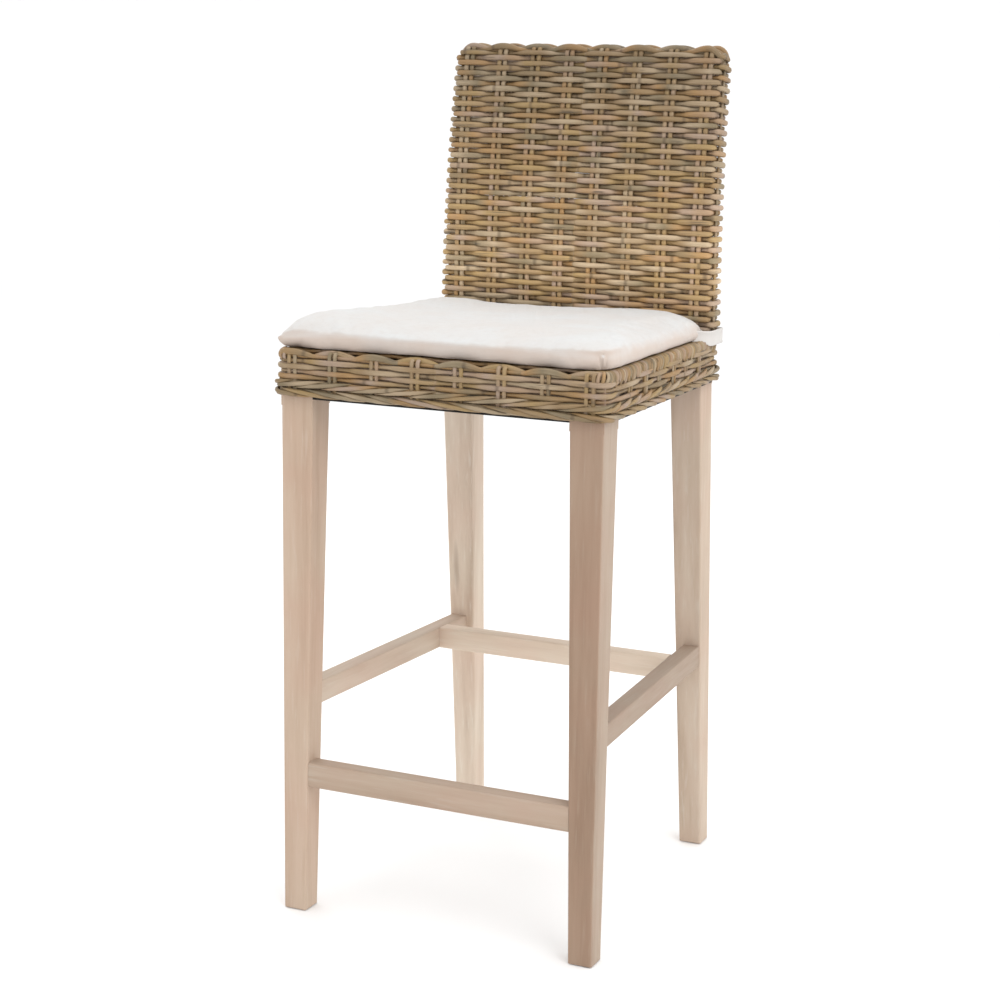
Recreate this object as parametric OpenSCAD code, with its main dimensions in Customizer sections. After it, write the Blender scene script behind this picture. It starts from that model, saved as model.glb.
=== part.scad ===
// Bar stool with a high woven back, a woven seat box, a loose seat cushion
// and a footrest rail.  Millimetres, +Z up, front towards -Y.
// The origin is on the floor, in the middle of the stool's footprint.

/* [Overall] */
// Height from the floor to the top of the back
overall_h = 1155; // [1120:5:1180]
// Height of the seat rim at the front
seat_h = 765; // [755:1:775]
// How much lower the seat is at the rear than at the front
seat_drop = 9; // [2:1:12]

/* [Legs] */
// Half the width across the front legs
front_half_w = 225; // [215:1:240]
// Half the width across the rear legs
rear_half_w = 200; // [195:1:204]
// Side of a leg's square section at the floor
leg_foot = 33; // [28:1:36]
// Side of a leg's square section under the seat
leg_top = 46; // [42:1:48]
// Front face of the front legs
front_y = -250; // [-255:1:-245]
// Front face of the rear legs at the floor
rear_foot_y = 231; // [215:1:240]
// Front face of the rear legs under the seat
rear_top_y = 167.5; // [164:0.5:170]
// Height at which the legs stop tapering
knee_h = 690; // [660:5:692]
// Radius along the edges of the legs
leg_r = 3; // [1:0.5:4]

/* [Stretchers] */
// Height of the underside of the footrest rail
footrest_h = 176; // [160:1:220]
// Height of the footrest rail's section
footrest_tall = 34; // [26:1:38]
// Height of the underside of the other stretchers
stretcher_h = 279; // [265:1:320]
// Height of their section
stretcher_tall = 31; // [26:1:34]
// Thickness of all the stretchers
stretcher_t = 25; // [20:1:25]

/* [Seat frame] */
// Height of the seat rails
rail_tall = 47; // [40:1:47]
// Thickness of the seat rails
rail_t = 20; // [16:1:22]
// How far the rails lie behind the faces of the legs
rail_inset = 6; // [5.8:0.1:7]

/* [Back] */
// Half the width of the back at the seat
back_half_w = 210; // [208:0.5:210]
// Half the width of the back at its top
back_top_half_w = 204; // [198:0.5:204]
// Thickness of the back
back_t = 42; // [42:0.5:44]
// Front face of the back at the seat
back_y = 176; // [175:0.5:178]
// Radius of the sweep that the back takes towards the rear
back_r = 1775; // [1500:25:2500]
// Height at which the sweep starts
back_bend_h = 815; // [800:5:850]
// Radius of the back's top corners
back_corner_r = 26; // [20:1:32]
// Pairs of upright canes across the back
back_pairs = 8; // [6:1:8]

/* [Wicker] */
// Thickness of the weave on the seat box
seat_weave_t = 7; // [6:0.5:9]
// How far the braid stands out from the faces of the legs
braid_t = 12; // [10:0.5:13]
// Height of the braid under the seat box
braid_tall = 22; // [18:1:25]
// Height of the rolled rim
rim_tall = 15; // [12:1:16]
// Thickness of the weave on the front and rear of the back
back_weave_t = 5; // [4.5:0.1:5]
// Diameter of an upright cane
cane_d = 5.6; // [4.8:0.1:5.7]

/* [Cushion] */
// Thickness of the seat cushion
cushion_t = 34; // [28:1:40]
// Half the width of the cushion at the front
cushion_front_half_w = 224; // [215:1:228]
// Half the width of the cushion at the rear
cushion_rear_half_w = 203; // [195:1:203]
// Width of the strap that holds the cushion
strap_w = 21; // [16:1:24]

/* [Hidden] */
$fn = 64;
arc_steps = 12;
join = 0.1;
far = 600;

// Colours
wood = "#cbb8a3";
wicker = "#a08a68";
cotton = "#efe9e0";
dowel_wood = "#d8c39a";

// Stretchers and glides
footrest_y = front_y + 2 + stretcher_t / 2;
rear_stretcher_y = 121.5;
stretcher_mid_z = stretcher_h + stretcher_tall / 2;
glide_front = [front_half_w - leg_foot / 2, front_y + leg_foot / 2];
glide_rear = [rear_half_w - leg_foot / 2, rear_foot_y + leg_foot / 2];

// Seat box: the frame's outline is the trapezoid through the legs' outer faces
frame_rear_y = rear_top_y + leg_top;
brim_y = front_y - braid_t;
brim_len = frame_rear_y + braid_t - brim_y;
tilt = atan(seat_drop / brim_len);
side_len = frame_rear_y - front_y;
side_a = atan((front_half_w - rear_half_w) / side_len);
leg_head_h = seat_h - rim_tall - 2;
rear_head_h = leg_head_h - seat_drop;
rail_top = seat_h - rim_tall - 1;
rail_z = rail_top - rail_tall;
braid_z = seat_h - 61.5;
weave_top = seat_h - rim_tall;
corner_cut = 20;
inner_r = 3;
outer_r = 8;
rim_in = 9;
rim_out = 5.5;
deck_t = 14;
deck_low = 2;

// Back: layers from the front face inwards
post_t = 18;
post_w = 40;
post_in = (back_t - post_t) / 2;
side_skin = post_in;
back_low = seat_h - 7.8;
border_tall = 14;
border_z = overall_h - border_tall;
top_rail_tall = 26;
post_top = border_z - 2 - top_rail_tall;
back_rail_tall = 32;
middle_rail_z = overall_h - 214;
lower_rail_z = back_low + 17.8;
cane_deep = (back_weave_t + post_in) / 2;
pair_gap = 9;
back_pair_pitch = 51.5;
seat_pair_pitch = 59;

// Hardware
dowel_d = 8;
dowel_deep = 18;
dowel_rise = 7;
glide_d = 20;
glide_h = 1.5;
screw_d = 6;
screw_head_d = 11;
screw_head_h = 4;
block_tall = 26;
block_gap = 4;
block_w = 40;
block_reach = (block_gap + block_w) / sqrt(2);
block_z = rail_z + 11;
rear_block_z = block_z - seat_drop;

// Cushion
cushion_z = seat_h + 0.4;
cushion_y0 = front_y + 3;
cushion_y1 = back_y - 0.5;
core_gap = 4;
strap_t = 1.5;
strap_z = seat_h - 17;

// Side of a leg's section at height z
function leg_w(z) = leg_foot + (leg_top - leg_foot) * min(z, knee_h) / knee_h;
// Front face of a rear leg at height z
function rear_leg_y(z) = rear_foot_y + (rear_top_y - rear_foot_y) * min(z, knee_h) / knee_h;
// Outline of the seat frame at depth y
function side_x(y) = front_half_w - (y - front_y) * tan(side_a);
// Height at depth y of what is at height h at the front of the seat
function seat_z(h, y) = h - (y - brim_y) * tan(tilt);
// Outer face of a side stretcher at depth y
function stretcher_x(y) = side_x(y) - 2.5;
// Half the width of the back at height z
function back_x(z) =
    back_half_w - (back_half_w - back_top_half_w) * (z - back_low) / (overall_h - back_low);
// Front face of the back at height z
function back_face(z) =
    back_y + back_r - sqrt(pow(back_r, 2) - pow(max(z - back_bend_h, 0), 2));
// Outer face of a back post at height z
function post_x(z) = back_x(max(z, back_low)) - side_skin;
// Inner face of a seat rail on the left and right
function rail_in_x(y) = side_x(y) - (rail_inset + rail_t) / cos(side_a);

// Extrude a profile drawn in Y and Z along X
module along_x(x0, x1) {
    translate([x0, 0, 0]) rotate([90, 0, 90]) linear_extrude(x1 - x0) children();
}

// Extrude a profile drawn in X and Z along Y
module along_y(y0, y1) {
    translate([0, y1, 0]) rotate([90, 0, 0]) linear_extrude(y1 - y0) children();
}

// Both halves of something drawn on the right
module both_sides() {
    children();
    mirror([1, 0, 0]) children();
}

// Points along an arc round [x, y] from angle a0 to angle a1
function arc_points(x, y, r, a0, a1) = [
    for (i = [0 : arc_steps]) let (a = a0 + (a1 - a0) * i / arc_steps)
        [x + r * cos(a), y + r * sin(a)]
];

// A trapezoid rounded by r round its corners' centres [x0, y0] in front and [x1, y1] behind
module rounded_trapezoid(x0, y0, x1, y1, r) {
    a = atan((x0 - x1) / (y1 - y0));
    polygon([
        each arc_points(x0, y0, r, -90, a), each arc_points(x1, y1, r, a, 90),
        each arc_points(-x1, y1, r, 90, 180 - a), each arc_points(-x0, y0, r, 180 - a, 270)
    ]);
}

module rounded_rect(w, h, r) {
    square([w - 2 * r, h], center = true);
    square([w, h - 2 * r], center = true);
    for (sx = [-1, 1], sy = [-1, 1])
        translate([sx * (w / 2 - r), sy * (h / 2 - r)]) circle(r);
}

// A thin square plate with rounded corners, its low corner at [x, y, z]
module leg_plate(x, y, z, w) {
    translate([x + w / 2, y + w / 2, z])
        linear_extrude(0.5) rounded_rect(w, w, leg_r, $fn = 32);
}

module dowel_x(x, y, z, deep = dowel_deep) {
    translate([x - deep, y, z]) rotate([0, 90, 0]) cylinder(d = dowel_d, h = 2 * deep);
}

module dowel_y(x, y, z, deep = dowel_deep) {
    translate([x, y + deep, z]) rotate([90, 0, 0]) cylinder(d = dowel_d, h = 2 * deep);
}

// ---- Dowels of the right half; the bores are the same cylinders ----

module footrest_dowels() {
    for (s = [-1, 1]) {
        z = footrest_h + footrest_tall / 2 + s * dowel_rise;
        dowel_x(front_half_w - leg_w(z), footrest_y, z, 16);
    }
}

module side_stretcher_dowels() {
    for (s = [-1, 1]) {
        z = stretcher_mid_z + s * dowel_rise;
        y0 = front_y + leg_w(z);
        y1 = rear_leg_y(z);
        dowel_y(stretcher_x(y0) - stretcher_t / 2, y0, z);
        dowel_y(stretcher_x(y1) - stretcher_t / 2, y1, z);
    }
}

module rear_stretcher_dowels() {
    y = rear_stretcher_y + stretcher_t / 2;
    for (s = [-1, 1])
        dowel_x(stretcher_x(y) - stretcher_t, y, stretcher_mid_z + s * dowel_rise, 14);
}

module front_rail_dowels() {
    for (s = [-1, 1])
        dowel_x(front_half_w - leg_top, front_y + rail_inset + rail_t / 2,
            rail_z + rail_tall / 2 + s * 10);
}

module side_rail_dowels() {
    for (s = [-1, 1], y = [front_y + leg_top, rear_top_y])
        dowel_y(rail_in_x(y) + rail_t / 2, y, seat_z(rail_z + rail_tall / 2, y) + s * 10);
}

module rear_rail_dowels() {
    y = frame_rear_y - rail_inset - rail_t / 2;
    for (s = [-1, 1])
        dowel_x(rear_half_w - leg_top, y, rail_z - seat_drop + rail_tall / 2 + s * 10);
}

module back_dowels() {
    y = post_in + post_t / 2;
    for (z = [middle_rail_z, lower_rail_z] + [1, 1] * back_rail_tall / 2)
        dowel_x(post_x(z) - post_w, back_face(z) + y, z);
    translate([post_x(post_top) - post_w / 2, back_face(post_top) + y,
            post_top - dowel_deep])
        cylinder(d = dowel_d, h = dowel_deep + 14);
}

// ---- Legs ----

module glide(x, y) {
    color("#6b665e") translate([x, y, 0]) {
        cylinder(d = glide_d, h = glide_h);
        cylinder(d = 3, h = 14);
    }
}

module right_front_leg() {
    x = front_half_w;
    difference() {
        union() {
            hull() {
                leg_plate(x - leg_foot, front_y, glide_h, leg_foot);
                leg_plate(x - leg_top, front_y, knee_h - 0.5, leg_top);
            }
            translate([x - leg_top, front_y, knee_h - join])
                cube([leg_top, leg_top, leg_head_h - knee_h + join]);
        }
        translate([x - leg_foot / 2, front_y + leg_foot / 2, 0]) cylinder(d = 3, h = 14);
        footrest_dowels();
        side_stretcher_dowels();
        front_rail_dowels();
        side_rail_dowels();
        block_screw_front();
    }
}

// Side view of the back's layers between two depths behind its front face
module back_layer(t0, t1, z0, z1) {
    translate([back_y + t0, z0]) square([t1 - t0, back_bend_h - z0]);
    intersection() {
        translate([back_y + back_r, back_bend_h]) difference() {
            circle(back_r - t0, $fn = 360);
            circle(back_r - t1, $fn = 360);
        }
        translate([back_y - 5, back_bend_h]) square([200, z1 - back_bend_h]);
    }
}

module right_rear_post() {
    x = rear_half_w;
    difference() {
        union() {
            hull() {
                leg_plate(x - leg_foot, rear_foot_y, glide_h, leg_foot);
                leg_plate(x - leg_top, rear_top_y, knee_h - 0.5, leg_top);
            }
            translate([x - leg_top, rear_top_y, knee_h - join])
                cube([leg_top, leg_top, rear_head_h - knee_h + join]);
            intersection() {
                along_x(0, far) back_layer(post_in, post_in + post_t, rear_head_h - 1, post_top);
                along_y(0, far) polygon([
                    for (z = [rear_head_h - 1, back_low, post_top]) [post_x(z), z],
                    for (z = [post_top, back_low, rear_head_h - 1]) [post_x(z) - post_w, z]
                ]);
            }
        }
        translate([x - leg_foot / 2, rear_foot_y + leg_foot / 2, 0]) cylinder(d = 3, h = 14);
        side_stretcher_dowels();
        side_rail_dowels();
        rear_rail_dowels();
        back_dowels();
        block_screw_rear();
    }
}

// ---- Stretchers ----

module footrest_rail() {
    z0 = footrest_h;
    z1 = footrest_h + footrest_tall;
    x0 = front_half_w - leg_w(z0);
    x1 = front_half_w - leg_w(z1);
    color(wood) difference() {
        intersection() {
            along_x(-far / 2, far / 2) translate([footrest_y, (z0 + z1) / 2])
                rounded_rect(stretcher_t, footrest_tall, 2.5);
            along_y(front_y, 0) polygon([[-x0, z0], [x0, z0], [x1, z1], [-x1, z1]]);
        }
        both_sides() footrest_dowels();
    }
}

module right_side_stretcher() {
    z0 = stretcher_h;
    z1 = stretcher_h + stretcher_tall;
    difference() {
        intersection() {
            translate([stretcher_x(0) - stretcher_t / 2, 0, stretcher_mid_z])
                rotate([90, 0, side_a]) translate([0, 0, -far / 2]) linear_extrude(far)
                    rounded_rect(stretcher_t, stretcher_tall, 2.5);
            along_x(0, far) polygon([
                [front_y + leg_w(z0), z0], [rear_leg_y(z0), z0],
                [rear_leg_y(z1), z1], [front_y + leg_w(z1), z1]
            ]);
        }
        side_stretcher_dowels();
        rear_stretcher_dowels();
    }
}

module rear_stretcher() {
    y0 = rear_stretcher_y;
    y1 = y0 + stretcher_t;
    x0 = stretcher_x(y0) - stretcher_t;
    x1 = stretcher_x(y1) - stretcher_t;
    color(wood) difference() {
        intersection() {
            along_x(-far / 2, far / 2) translate([(y0 + y1) / 2, stretcher_mid_z])
                rounded_rect(stretcher_t, stretcher_tall, 2.5);
            linear_extrude(far) polygon([[-x0, y0], [x0, y0], [x1, y1], [-x1, y1]]);
        }
        both_sides() rear_stretcher_dowels();
    }
}

// ---- Seat frame ----

module seat_rail_front() {
    w = front_half_w - leg_top;
    color(wood) difference() {
        translate([-w, front_y + rail_inset, rail_z]) cube([2 * w, rail_t, rail_tall]);
        both_sides() front_rail_dowels();
    }
}

module seat_rail_rear() {
    w = rear_half_w - leg_top;
    color(wood) difference() {
        translate([-w, frame_rear_y - rail_inset - rail_t, rail_z - seat_drop])
            cube([2 * w, rail_t, rail_tall]);
        both_sides() rear_rail_dowels();
    }
}

module right_seat_rail() {
    y0 = front_y + leg_top;
    y1 = rear_top_y;
    difference() {
        intersection() {
            translate([side_x(0) - rail_inset / cos(side_a), 0, 0]) rotate([0, 0, side_a])
                translate([-rail_t, -far / 2, 0]) cube([rail_t, far, 2 * far]);
            along_x(0, far) polygon([
                [y0, seat_z(rail_z, y0)], [y1, seat_z(rail_z, y1)],
                [y1, seat_z(rail_top, y1)], [y0, seat_z(rail_top, y0)]
            ]);
        }
        side_rail_dowels();
    }
}

// A screw on the line at 45 degrees through the inner corner of a leg.
// back is -1 at the front legs and 1 at the rear ones.
module block_screw(x, y, z, back) {
    translate([x, y, z]) rotate([0, 0, back * 45]) rotate([0, 90, 0]) {
        translate([0, 0, -block_reach]) cylinder(d = screw_d, h = block_reach + 22);
        translate([0, 0, -block_reach - screw_head_h])
            cylinder(d = screw_head_d, h = screw_head_h);
    }
}

module block_screw_front() {
    block_screw(front_half_w - leg_top, front_y + leg_top, block_z + block_tall / 2, -1);
}

module block_screw_rear() {
    block_screw(rear_half_w - leg_top, rear_top_y, rear_block_z + block_tall / 2, 1);
}

// Plan of a corner block before it is cut to the rails, leaning to the front or the rear
module block_strip(lean) {
    polygon([[0, 0], [100, lean * 100], [100 - block_w, lean * 100], [-block_w, 0]]);
}

module right_front_block() {
    x = front_half_w - leg_top;
    y = front_y + leg_top;
    face = front_y + rail_inset + rail_t;
    step = y - face;
    difference() {
        translate([0, 0, block_z]) linear_extrude(block_tall) intersection() {
            translate([x - step - block_gap, face]) block_strip(1);
            polygon([
                [0, face], [rail_in_x(face), face],
                [rail_in_x(0), 0], [0, 0]
            ]);
        }
        block_screw_front();
    }
}

module right_rear_block() {
    x = rear_half_w - leg_top;
    y = rear_top_y;
    face = frame_rear_y - rail_inset - rail_t;
    step = face - y;
    difference() {
        translate([0, 0, rear_block_z]) linear_extrude(block_tall) intersection() {
            translate([x - step - block_gap, face]) block_strip(-1);
            polygon([
                [0, face], [rail_in_x(face), face],
                [rail_in_x(0), 0], [0, 0]
            ]);
        }
        block_screw_rear();
    }
}

// A bearer across the seat frame, under the deck, centred at depth y
module seat_slat(y) {
    slat_w = 44;
    slat_t = 12;
    y0 = y - slat_w / 2;
    y1 = y + slat_w / 2;
    color(wood) intersection() {
        linear_extrude(2 * far) polygon([
            [-rail_in_x(y0), y0], [rail_in_x(y0), y0],
            [rail_in_x(y1), y1], [-rail_in_x(y1), y1]
        ]);
        seat_slab(rail_top - slat_t, rail_top);
    }
}

// ---- Back frame ----

module back_rail(z0, tall) {
    difference() {
        intersection() {
            along_x(-far / 2, far / 2) back_layer(post_in, post_in + post_t, back_low, z0 + tall);
            along_y(0, far) polygon([
                for (s = [-1, 1]) [s * (post_x(z0) - post_w), z0],
                for (s = [1, -1]) [s * (post_x(z0 + tall) - post_w), z0 + tall]
            ]);
        }
        both_sides() back_dowels();
    }
}

module back_top_rail() {
    w = back_x(overall_h) - side_skin - 4;
    color(wood) difference() {
        intersection() {
            along_x(-w, w)
                back_layer(post_in, post_in + post_t, back_low, post_top + top_rail_tall);
            translate([-far, 0, post_top]) cube([2 * far, far, far]);
        }
        both_sides() back_dowels();
    }
}

// ---- Woven back ----

// Front view of the back
module back_outline() {
    r = back_corner_r;
    xc = back_x(overall_h) - r;
    zc = overall_h - r;
    polygon([
        [-back_half_w, back_low], [back_half_w, back_low],
        each arc_points(xc, zc, r, 0, 90), each arc_points(-xc, zc, r, 90, 180)
    ]);
}

module back_panel(t0, t1, z0, z1) {
    intersection() {
        along_x(-far / 2, far / 2) back_layer(t0, t1, back_low, overall_h + 20);
        along_y(0, far) back_outline();
        translate([-far / 2, 0, z0]) cube([far, far, z1 - z0]);
    }
}

// Front view of the space between the woven sides
module back_core() {
    polygon([
        for (z = [back_low - 1, overall_h]) [back_x(z) - side_skin, z],
        for (z = [overall_h, back_low - 1]) [side_skin - back_x(z), z]
    ]);
}

module right_back_weave() {
    intersection() {
        along_x(0, far) back_layer(back_weave_t, back_t - back_weave_t, back_low, border_z);
        along_y(0, far) difference() {
            back_outline();
            back_core();
        }
    }
}

// Upright canes in pairs, their centres deep behind the front face of the back
module back_canes(deep) {
    r = back_r - deep;
    z0 = back_low + 2;
    z1 = border_z - 1;
    for (i = [0 : back_pairs - 1], s = [-1, 1]) {
        x = (i - (back_pairs - 1) / 2) * back_pair_pitch + s * pair_gap / 2;
        translate([x, back_y + deep, z0]) cylinder(d = cane_d, h = back_bend_h - z0);
        translate([x, back_y + back_r, back_bend_h]) rotate([90, 0, -90])
            rotate_extrude(angle = asin((z1 - back_bend_h) / r), $fn = 360)
                translate([r, 0]) circle(d = cane_d, $fn = 32);
    }
}

// ---- Woven seat box ----

// Seat frame outline grown outwards by d, with corner radius r
module seat_plan(d, r) {
    yf = front_y - d + r;
    yr = frame_rear_y + d - r;
    xf = side_x(yf) + (d - r) / cos(side_a);
    xr = side_x(yr) + (d - r) / cos(side_a);
    rounded_trapezoid(xf, yf, xr, yr, r);
}

// Everything between two heights, measured at the front of the seat
module seat_slab(z0, z1) {
    translate([0, brim_y, z0]) rotate([-tilt, 0, 0])
        translate([-far / 2, -far / 10, 0]) cube([far, far, (z1 - z0) * cos(tilt)]);
}

// The legs' square heads and the posts above them
module leg_heads() {
    for (s = [-1, 1]) {
        translate([s * (front_half_w - leg_top / 2), front_y + leg_top / 2, leg_head_h / 2])
            cube([leg_top, leg_top, leg_head_h], center = true);
        translate([s * (rear_half_w - leg_top / 2), rear_top_y + leg_top / 2, rear_head_h / 2])
            cube([leg_top, leg_top, rear_head_h], center = true);
        translate([s * (post_x(back_low) - post_w / 2), back_y + back_t / 2, seat_h])
            cube([post_w, post_t, 80], center = true);
    }
}

// A band round the seat box from depth d0 to d1 outside the frame's outline
module seat_band(d0, d1, z0, z1) {
    difference() {
        intersection() {
            translate([0, 0, z0 - 40]) linear_extrude(z1 - z0 + 80) difference() {
                seat_plan(d1, outer_r + max(d1, 0));
                seat_plan(d0, inner_r);
            }
            seat_slab(z0, z1);
        }
        leg_heads();
    }
}

module front_part() {
    intersection() {
        children();
        translate([-far, -far, 0]) cube([2 * far, far + front_y + corner_cut, 2 * far]);
    }
}

module rear_part() {
    intersection() {
        children();
        translate([-far, frame_rear_y - corner_cut, 0]) cube([2 * far, far, 2 * far]);
    }
}

module right_part() {
    intersection() {
        children();
        translate([0, front_y + corner_cut, 0])
            cube([far, side_len - 2 * corner_cut, 2 * far]);
    }
}

module seat_weave() { seat_band(0, seat_weave_t, braid_z + braid_tall, weave_top); }
module seat_rim() { seat_band(-rim_in, rim_out, weave_top, seat_h); }
module seat_braid() { seat_band(0, braid_t, braid_z, braid_z + braid_tall); }

module seat_canes() {
    zh = weave_top - 4 - braid_z;
    color(wicker) {
        for (i = [-2.5 : 2.5], s = [-1, 1]) {
            translate([i * seat_pair_pitch + s * pair_gap / 2, front_y + rail_inset / 2, braid_z + 2])
                cylinder(d = cane_d, h = zh);
            translate([i * back_pair_pitch + s * pair_gap / 2, frame_rear_y - rail_inset / 2,
                    braid_z + 2 - seat_drop])
                cylinder(d = cane_d, h = zh);
        }
        both_sides() for (i = [-2.5 : 2.5], s = [-1, 1]) {
            y = i * seat_pair_pitch - 18 + s * pair_gap / 2;
            translate([side_x(y) - rail_inset / 2, y, seat_z(braid_z + 2, y)])
                cylinder(d = cane_d, h = zh);
        }
    }
}

module seat_deck() {
    top = seat_h - deck_low;
    color(wicker) difference() {
        intersection() {
            translate([0, 0, top - 60]) linear_extrude(100) seat_plan(-rim_in, inner_r);
            seat_slab(top - deck_t, top);
        }
        leg_heads();
    }
}

module dust_cover() {
    cover_t = 1.5;
    color("#2b2a28") difference() {
        intersection() {
            translate([0, 0, rail_z - 60]) linear_extrude(100) seat_plan(0, inner_r);
            seat_slab(rail_z - cover_t, rail_z);
        }
        leg_heads();
    }
}

// ---- Cushion ----

module cushion_shape(gap) {
    r = 18 - gap / 2;
    x0 = cushion_front_half_w - gap - r;
    x1 = cushion_rear_half_w - gap - r;
    y0 = cushion_y0 + gap + r;
    y1 = cushion_y1 - gap - r;
    intersection() {
        translate([0, 0, cushion_z - 60]) linear_extrude(160)
            rounded_trapezoid(x0, y0, x1, y1, r);
        seat_slab(cushion_z + gap, cushion_z + cushion_t - gap);
    }
}

module cushion_cover() {
    color(cotton) difference() {
        cushion_shape(0);
        cushion_shape(core_gap);
    }
}

module cushion_core() {
    color("#f3e6c4") cushion_shape(core_gap);
}

// The strap from the cushion's rear corner, past the side of the back and round behind it
module right_strap() {
    x = back_half_w + 0.3;
    y = back_y + back_t + 1.3;
    tie_y = back_y - 22;
    translate([0, 0, strap_z]) linear_extrude(strap_w) polygon([
        [x, back_y], [x + strap_t, back_y], [x + strap_t, y + strap_t],
        [6, y + strap_t], [6, y], [x, y]
    ]);
    translate([0, 0, cushion_z - seat_drop + 1.5])
        linear_extrude(strap_z + strap_w - cushion_z + seat_drop - 1.5) polygon([
            [cushion_rear_half_w + 1.3, tie_y], [cushion_rear_half_w + 1.3 + strap_t, tie_y],
            [x + strap_t, back_y], [x, back_y]
        ]);
}

module strap_tab() {
    color(cotton)
        translate([-42, back_y + back_t + 1.3 + strap_t, strap_z + 1])
            cube([84, strap_t, strap_w - 2]);
}

// ---- The named sub-parts ----

module front_leg_right() { color(wood) right_front_leg(); }
module front_leg_left() { color(wood) mirror([1, 0, 0]) right_front_leg(); }
module rear_post_right() { color(wood) right_rear_post(); }
module rear_post_left() { color(wood) mirror([1, 0, 0]) right_rear_post(); }

module glide_front_left() { glide(-glide_front.x, glide_front.y); }
module glide_front_right() { glide(glide_front.x, glide_front.y); }
module glide_rear_left() { glide(-glide_rear.x, glide_rear.y); }
module glide_rear_right() { glide(glide_rear.x, glide_rear.y); }

module side_stretcher_right() { color(wood) right_side_stretcher(); }
module side_stretcher_left() { color(wood) mirror([1, 0, 0]) right_side_stretcher(); }
module seat_rail_right() { color(wood) right_seat_rail(); }
module seat_rail_left() { color(wood) mirror([1, 0, 0]) right_seat_rail(); }

module corner_block_front_right() { color(wood) right_front_block(); }
module corner_block_front_left() { color(wood) mirror([1, 0, 0]) right_front_block(); }
module corner_block_rear_right() { color(wood) right_rear_block(); }
module corner_block_rear_left() { color(wood) mirror([1, 0, 0]) right_rear_block(); }

module corner_screws() {
    color("silver") both_sides() {
        block_screw_front();
        block_screw_rear();
    }
}

module seat_slat_front() { seat_slat(-115); }
module seat_slat_middle() { seat_slat(-20); }
module seat_slat_rear() { seat_slat(75); }

module stretcher_dowels() {
    color(dowel_wood) both_sides() {
        footrest_dowels();
        side_stretcher_dowels();
        rear_stretcher_dowels();
    }
}

module seat_rail_dowels() {
    color(dowel_wood) both_sides() {
        front_rail_dowels();
        side_rail_dowels();
        rear_rail_dowels();
    }
}

module back_rail_dowels() { color(dowel_wood) both_sides() back_dowels(); }

module back_middle_rail() { color(wood) back_rail(middle_rail_z, back_rail_tall); }
module back_lower_rail() { color(wood) back_rail(lower_rail_z, back_rail_tall); }

module back_canes_front() { color(wicker) back_canes(cane_deep); }
module back_canes_rear() { color(wicker) back_canes(back_t - cane_deep); }

module back_weave_front() { color(wicker) back_panel(0, back_weave_t, back_low, border_z); }
module back_weave_rear() { color(wicker) back_panel(back_t - back_weave_t, back_t, back_low, border_z); }
module back_weave_right() { color(wicker) right_back_weave(); }
module back_weave_left() { color(wicker) mirror([1, 0, 0]) right_back_weave(); }
module back_border() { color(wicker) back_panel(0, back_t, border_z, overall_h + 5); }

module seat_weave_front() { color(wicker) front_part() seat_weave(); }
module seat_weave_rear() { color(wicker) rear_part() seat_weave(); }
module seat_weave_right() { color(wicker) right_part() seat_weave(); }
module seat_weave_left() { color(wicker) mirror([1, 0, 0]) right_part() seat_weave(); }
module seat_rim_front() { color(wicker) front_part() seat_rim(); }
module seat_rim_rear() { color(wicker) rear_part() seat_rim(); }
module seat_rim_right() { color(wicker) right_part() seat_rim(); }
module seat_rim_left() { color(wicker) mirror([1, 0, 0]) right_part() seat_rim(); }
module seat_braid_front() { color(wicker) front_part() seat_braid(); }
module seat_braid_rear() { color(wicker) rear_part() seat_braid(); }
module seat_braid_right() { color(wicker) right_part() seat_braid(); }
module seat_braid_left() { color(wicker) mirror([1, 0, 0]) right_part() seat_braid(); }

module strap_right() { color(cotton) right_strap(); }
module strap_left() { color(cotton) mirror([1, 0, 0]) right_strap(); }

front_leg_left();
front_leg_right();
rear_post_left();
rear_post_right();
glide_front_left();
glide_front_right();
glide_rear_left();
glide_rear_right();
footrest_rail();
side_stretcher_left();
side_stretcher_right();
rear_stretcher();
seat_rail_front();
seat_rail_rear();
seat_rail_left();
seat_rail_right();
corner_block_front_left();
corner_block_front_right();
corner_block_rear_left();
corner_block_rear_right();
corner_screws();
seat_slat_front();
seat_slat_middle();
seat_slat_rear();
stretcher_dowels();
seat_rail_dowels();
back_rail_dowels();
back_top_rail();
back_middle_rail();
back_lower_rail();
back_canes_front();
back_canes_rear();
back_weave_front();
back_weave_rear();
back_weave_left();
back_weave_right();
back_border();
seat_canes();
seat_weave_front();
seat_weave_rear();
seat_weave_left();
seat_weave_right();
seat_rim_front();
seat_rim_rear();
seat_rim_left();
seat_rim_right();
seat_braid_front();
seat_braid_rear();
seat_braid_left();
seat_braid_right();
seat_deck();
dust_cover();
cushion_cover();
cushion_core();
strap_left();
strap_right();
strap_tab();
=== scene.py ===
"""Looks of the bar stool: woven rattan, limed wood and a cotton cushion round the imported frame."""
import math

import bpy
import numpy as np
from mathutils import Matrix, Vector
from mathutils.geometry import convex_hull_2d


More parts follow.
